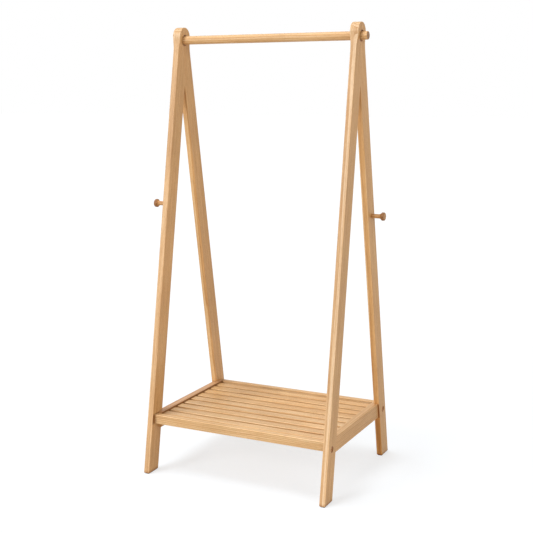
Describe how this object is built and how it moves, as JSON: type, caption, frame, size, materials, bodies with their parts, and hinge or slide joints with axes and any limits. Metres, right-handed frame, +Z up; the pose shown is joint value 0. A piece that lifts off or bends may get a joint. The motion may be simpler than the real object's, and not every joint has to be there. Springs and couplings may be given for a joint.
{
  "type": "clothes rack",
  "caption": "Free-standing wooden clothes rack: leaning-leg side frames with round heads, a turning hanging rail, side pegs and a low slatted shelf.",
  "frame": {"origin": "middle of the footprint, on the floor", "axes": "+Z up, +X to the right along the hanging rail, +Y to the back, so the front faces -Y"},
  "size_m": [0.74, 0.543, 1.45],
  "materials": {
    "leg_wood": "satin, light oiled hardwood, grain along the leg",
    "rail_wood": "satin, turned dowel, grain along the rail",
    "shelf_wood": "satin, light oiled hardwood, grain along the bar",
    "slat_wood": "satin, light oiled hardwood, grain along the slat",
    "peg_wood": "satin, turned, grain along the peg",
    "dowel_wood": "plain beech dowel",
    "bolt_metal": "dark bronze plating",
    "stud_metal": "zinc plating",
    "pad_felt": "dark felt"
  },
  "bodies": {
    "stand": {"left_front_leg": "leg_wood", "left_rear_leg": "leg_wood", "right_front_leg": "leg_wood", "right_rear_leg": "leg_wood", "head_dowels": "dowel_wood", "left_side_rail": "shelf_wood", "right_side_rail": "shelf_wood", "front_apron": "shelf_wood", "rear_apron": "shelf_wood", "left_cleat": "shelf_wood", "right_cleat": "shelf_wood", "lap_dowels": "dowel_wood", "slat_pins": "dowel_wood", "slat_1": "slat_wood", "slat_2": "slat_wood", "slat_3": "slat_wood", "slat_4": "slat_wood", "slat_5": "slat_wood", "slat_6": "slat_wood", "slat_7": "slat_wood", "slat_8": "slat_wood", "slat_9": "slat_wood", "apron_bolts": "bolt_metal", "barrel_nuts": "stud_metal", "peg_studs": "stud_metal", "left_peg": "peg_wood", "right_peg": "peg_wood", "left_front_pad": "pad_felt", "left_rear_pad": "pad_felt", "right_front_pad": "pad_felt", "right_rear_pad": "pad_felt"},
    "rail": {"hanging_rail": "rail_wood"}
  },
  "joints": [
    {"name": "rail_turn", "type": "hinge", "parent": "stand", "child": "rail", "pos_m": [0, 0, 1.408], "axis": [1, 0, 0], "continuous": true}
  ]
}
